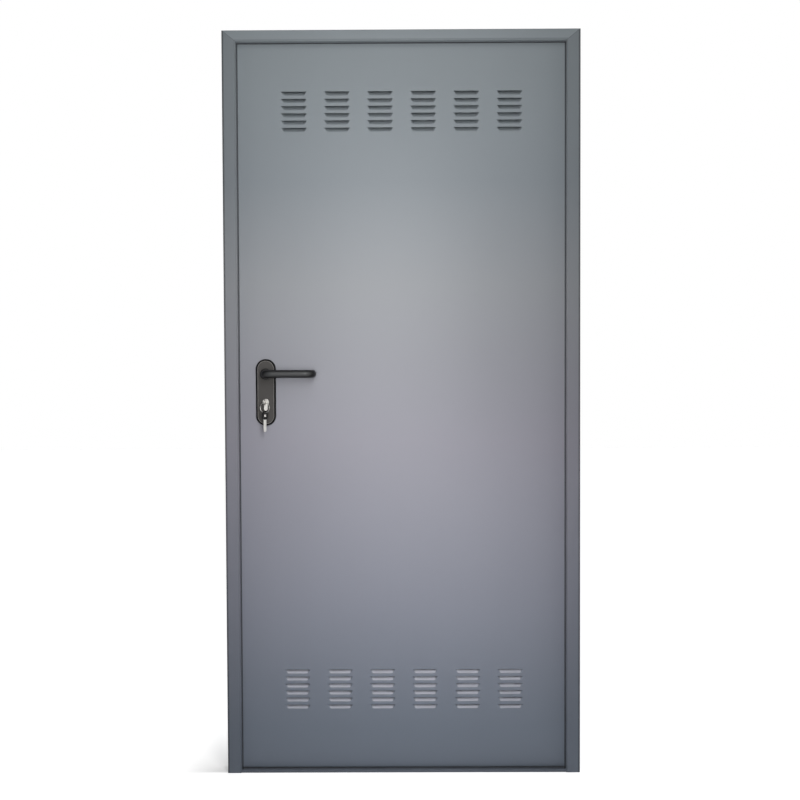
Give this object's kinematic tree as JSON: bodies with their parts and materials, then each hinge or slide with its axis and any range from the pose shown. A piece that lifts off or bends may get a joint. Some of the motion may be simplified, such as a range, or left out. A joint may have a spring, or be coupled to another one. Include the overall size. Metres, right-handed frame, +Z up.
{
  "type": "louvred steel utility door in its frame",
  "caption": "Grey sheet-steel utility door in a pressed frame, with louvred vents at top and bottom, lever handles on long plates, a cylinder lock with keys, and barrel hinges.",
  "frame": {"origin": "middle of the sill's underside, at floor level, halfway through the frame's depth", "axes": "+X to the right as seen from the push side, +Y through the doorway away from that viewer, +Z up"},
  "size_m": [0.99, 0.158, 2.07],
  "materials": {
    "grey_paint": "satin",
    "black_rubber": "matte",
    "black_nylon": "satin",
    "zinc_steel": "satin",
    "nickel_plate": "gloss"
  },
  "bodies": {
    "frame": {"hinge_jamb": "grey_paint", "lock_jamb": "grey_paint", "head": "grey_paint", "sill": "zinc_steel", "gasket_hinge_side": "black_rubber", "gasket_lock_side": "black_rubber", "gasket_head": "black_rubber", "strike_plate": "zinc_steel", "upper_hinge_frame_half": "grey_paint", "lower_hinge_frame_half": "grey_paint", "upper_hinge_pin": "zinc_steel", "lower_hinge_pin": "zinc_steel"},
    "leaf": {"front_skin": "grey_paint", "back_skin": "grey_paint", "mortice_lock": "zinc_steel", "latch_bolt": "zinc_steel", "dead_bolt": "zinc_steel", "front_plate": "black_nylon", "back_plate": "black_nylon", "cylinder": "nickel_plate", "key": "nickel_plate", "key_ring": "nickel_plate", "spare_key": "nickel_plate", "upper_hinge_leaf_half": "grey_paint", "lower_hinge_leaf_half": "grey_paint"},
    "levers": {"front_lever": "black_nylon", "back_lever": "black_nylon", "spindle": "zinc_steel"}
  },
  "joints": [
    {"name": "leaf_hinge", "type": "hinge", "parent": "frame", "child": "leaf", "pos_m": [0.46875, 0.0385, 1.0278], "axis": [0, 0, -1], "range_deg": [0, 110]},
    {"name": "lever_turn", "type": "hinge", "parent": "leaf", "child": "levers", "pos_m": [-0.3815, 0.01, 1.1225], "axis": [0, 1, 0], "range_deg": [0, 40], "stiffness_Nm_per_rad": 2, "springref_deg": -17.19}
  ]
}
